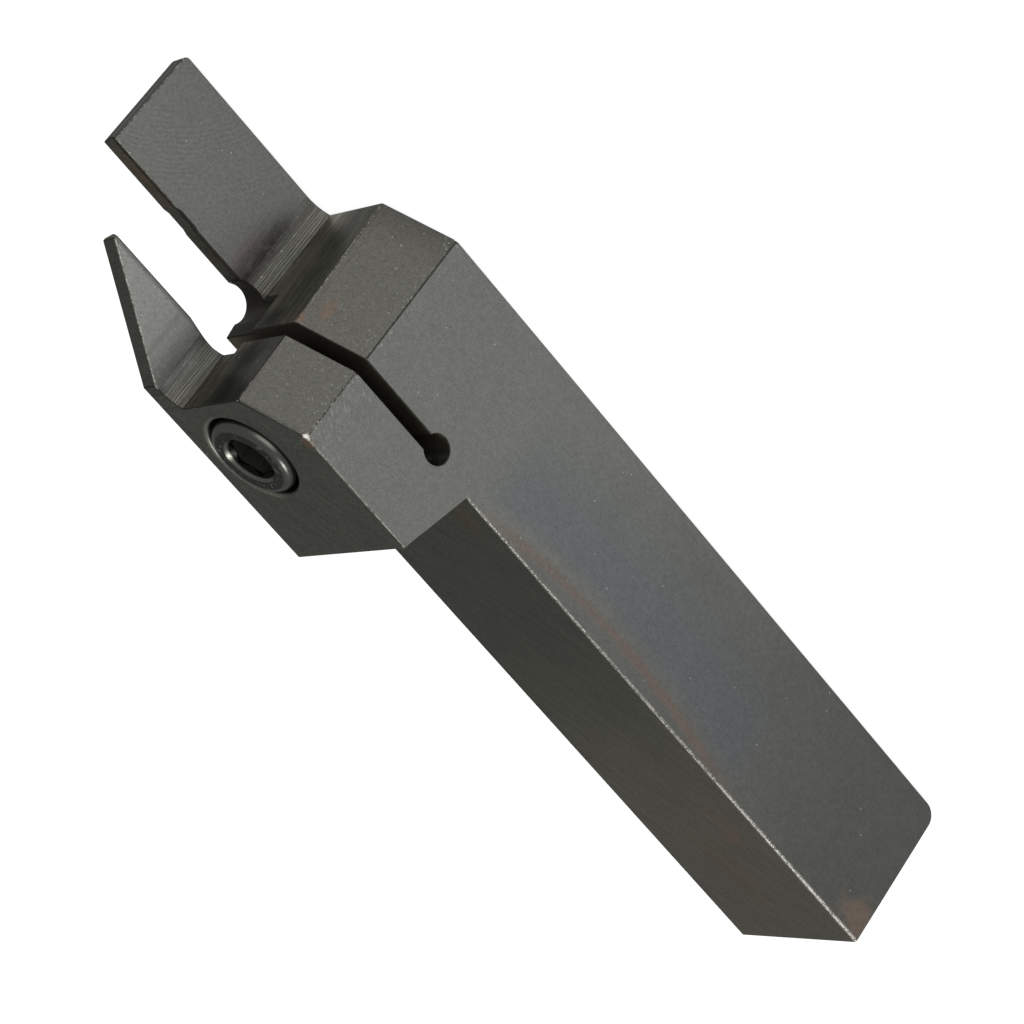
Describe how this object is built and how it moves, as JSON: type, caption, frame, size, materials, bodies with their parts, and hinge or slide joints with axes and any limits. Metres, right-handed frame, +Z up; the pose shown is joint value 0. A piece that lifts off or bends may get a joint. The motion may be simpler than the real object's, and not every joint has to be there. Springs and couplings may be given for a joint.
{
  "type": "parting tool holder",
  "caption": "Right-hand parting and grooving tool holder for a lathe: square shank, thin blade, empty insert pocket and a slit jaw pulled down by a socket head screw.",
  "frame": {"origin": "middle of the underside of the whole part", "axes": "+X forward to the cutting end, +Y to the side that carries the blade, +Z up to the side of the screw head"},
  "size_m": [0.1005, 0.016, 0.0243],
  "materials": {
    "holder_steel": "blackened, with bright worn edges and light rust stains",
    "screw_steel": "black oxide, worn shiny at the rim and the socket's mouth"
  },
  "bodies": {
    "holder": {"holder_body": "holder_steel"},
    "screw": {"clamp_screw": "screw_steel"}
  },
  "joints": [
    {"name": "clamp_screw_turn", "type": "hinge", "parent": "holder", "child": "screw", "pos_m": [0.0243, 0.00165, 0.01925], "axis": [0, 0, 1], "range_deg": [0, 450]}
  ]
}
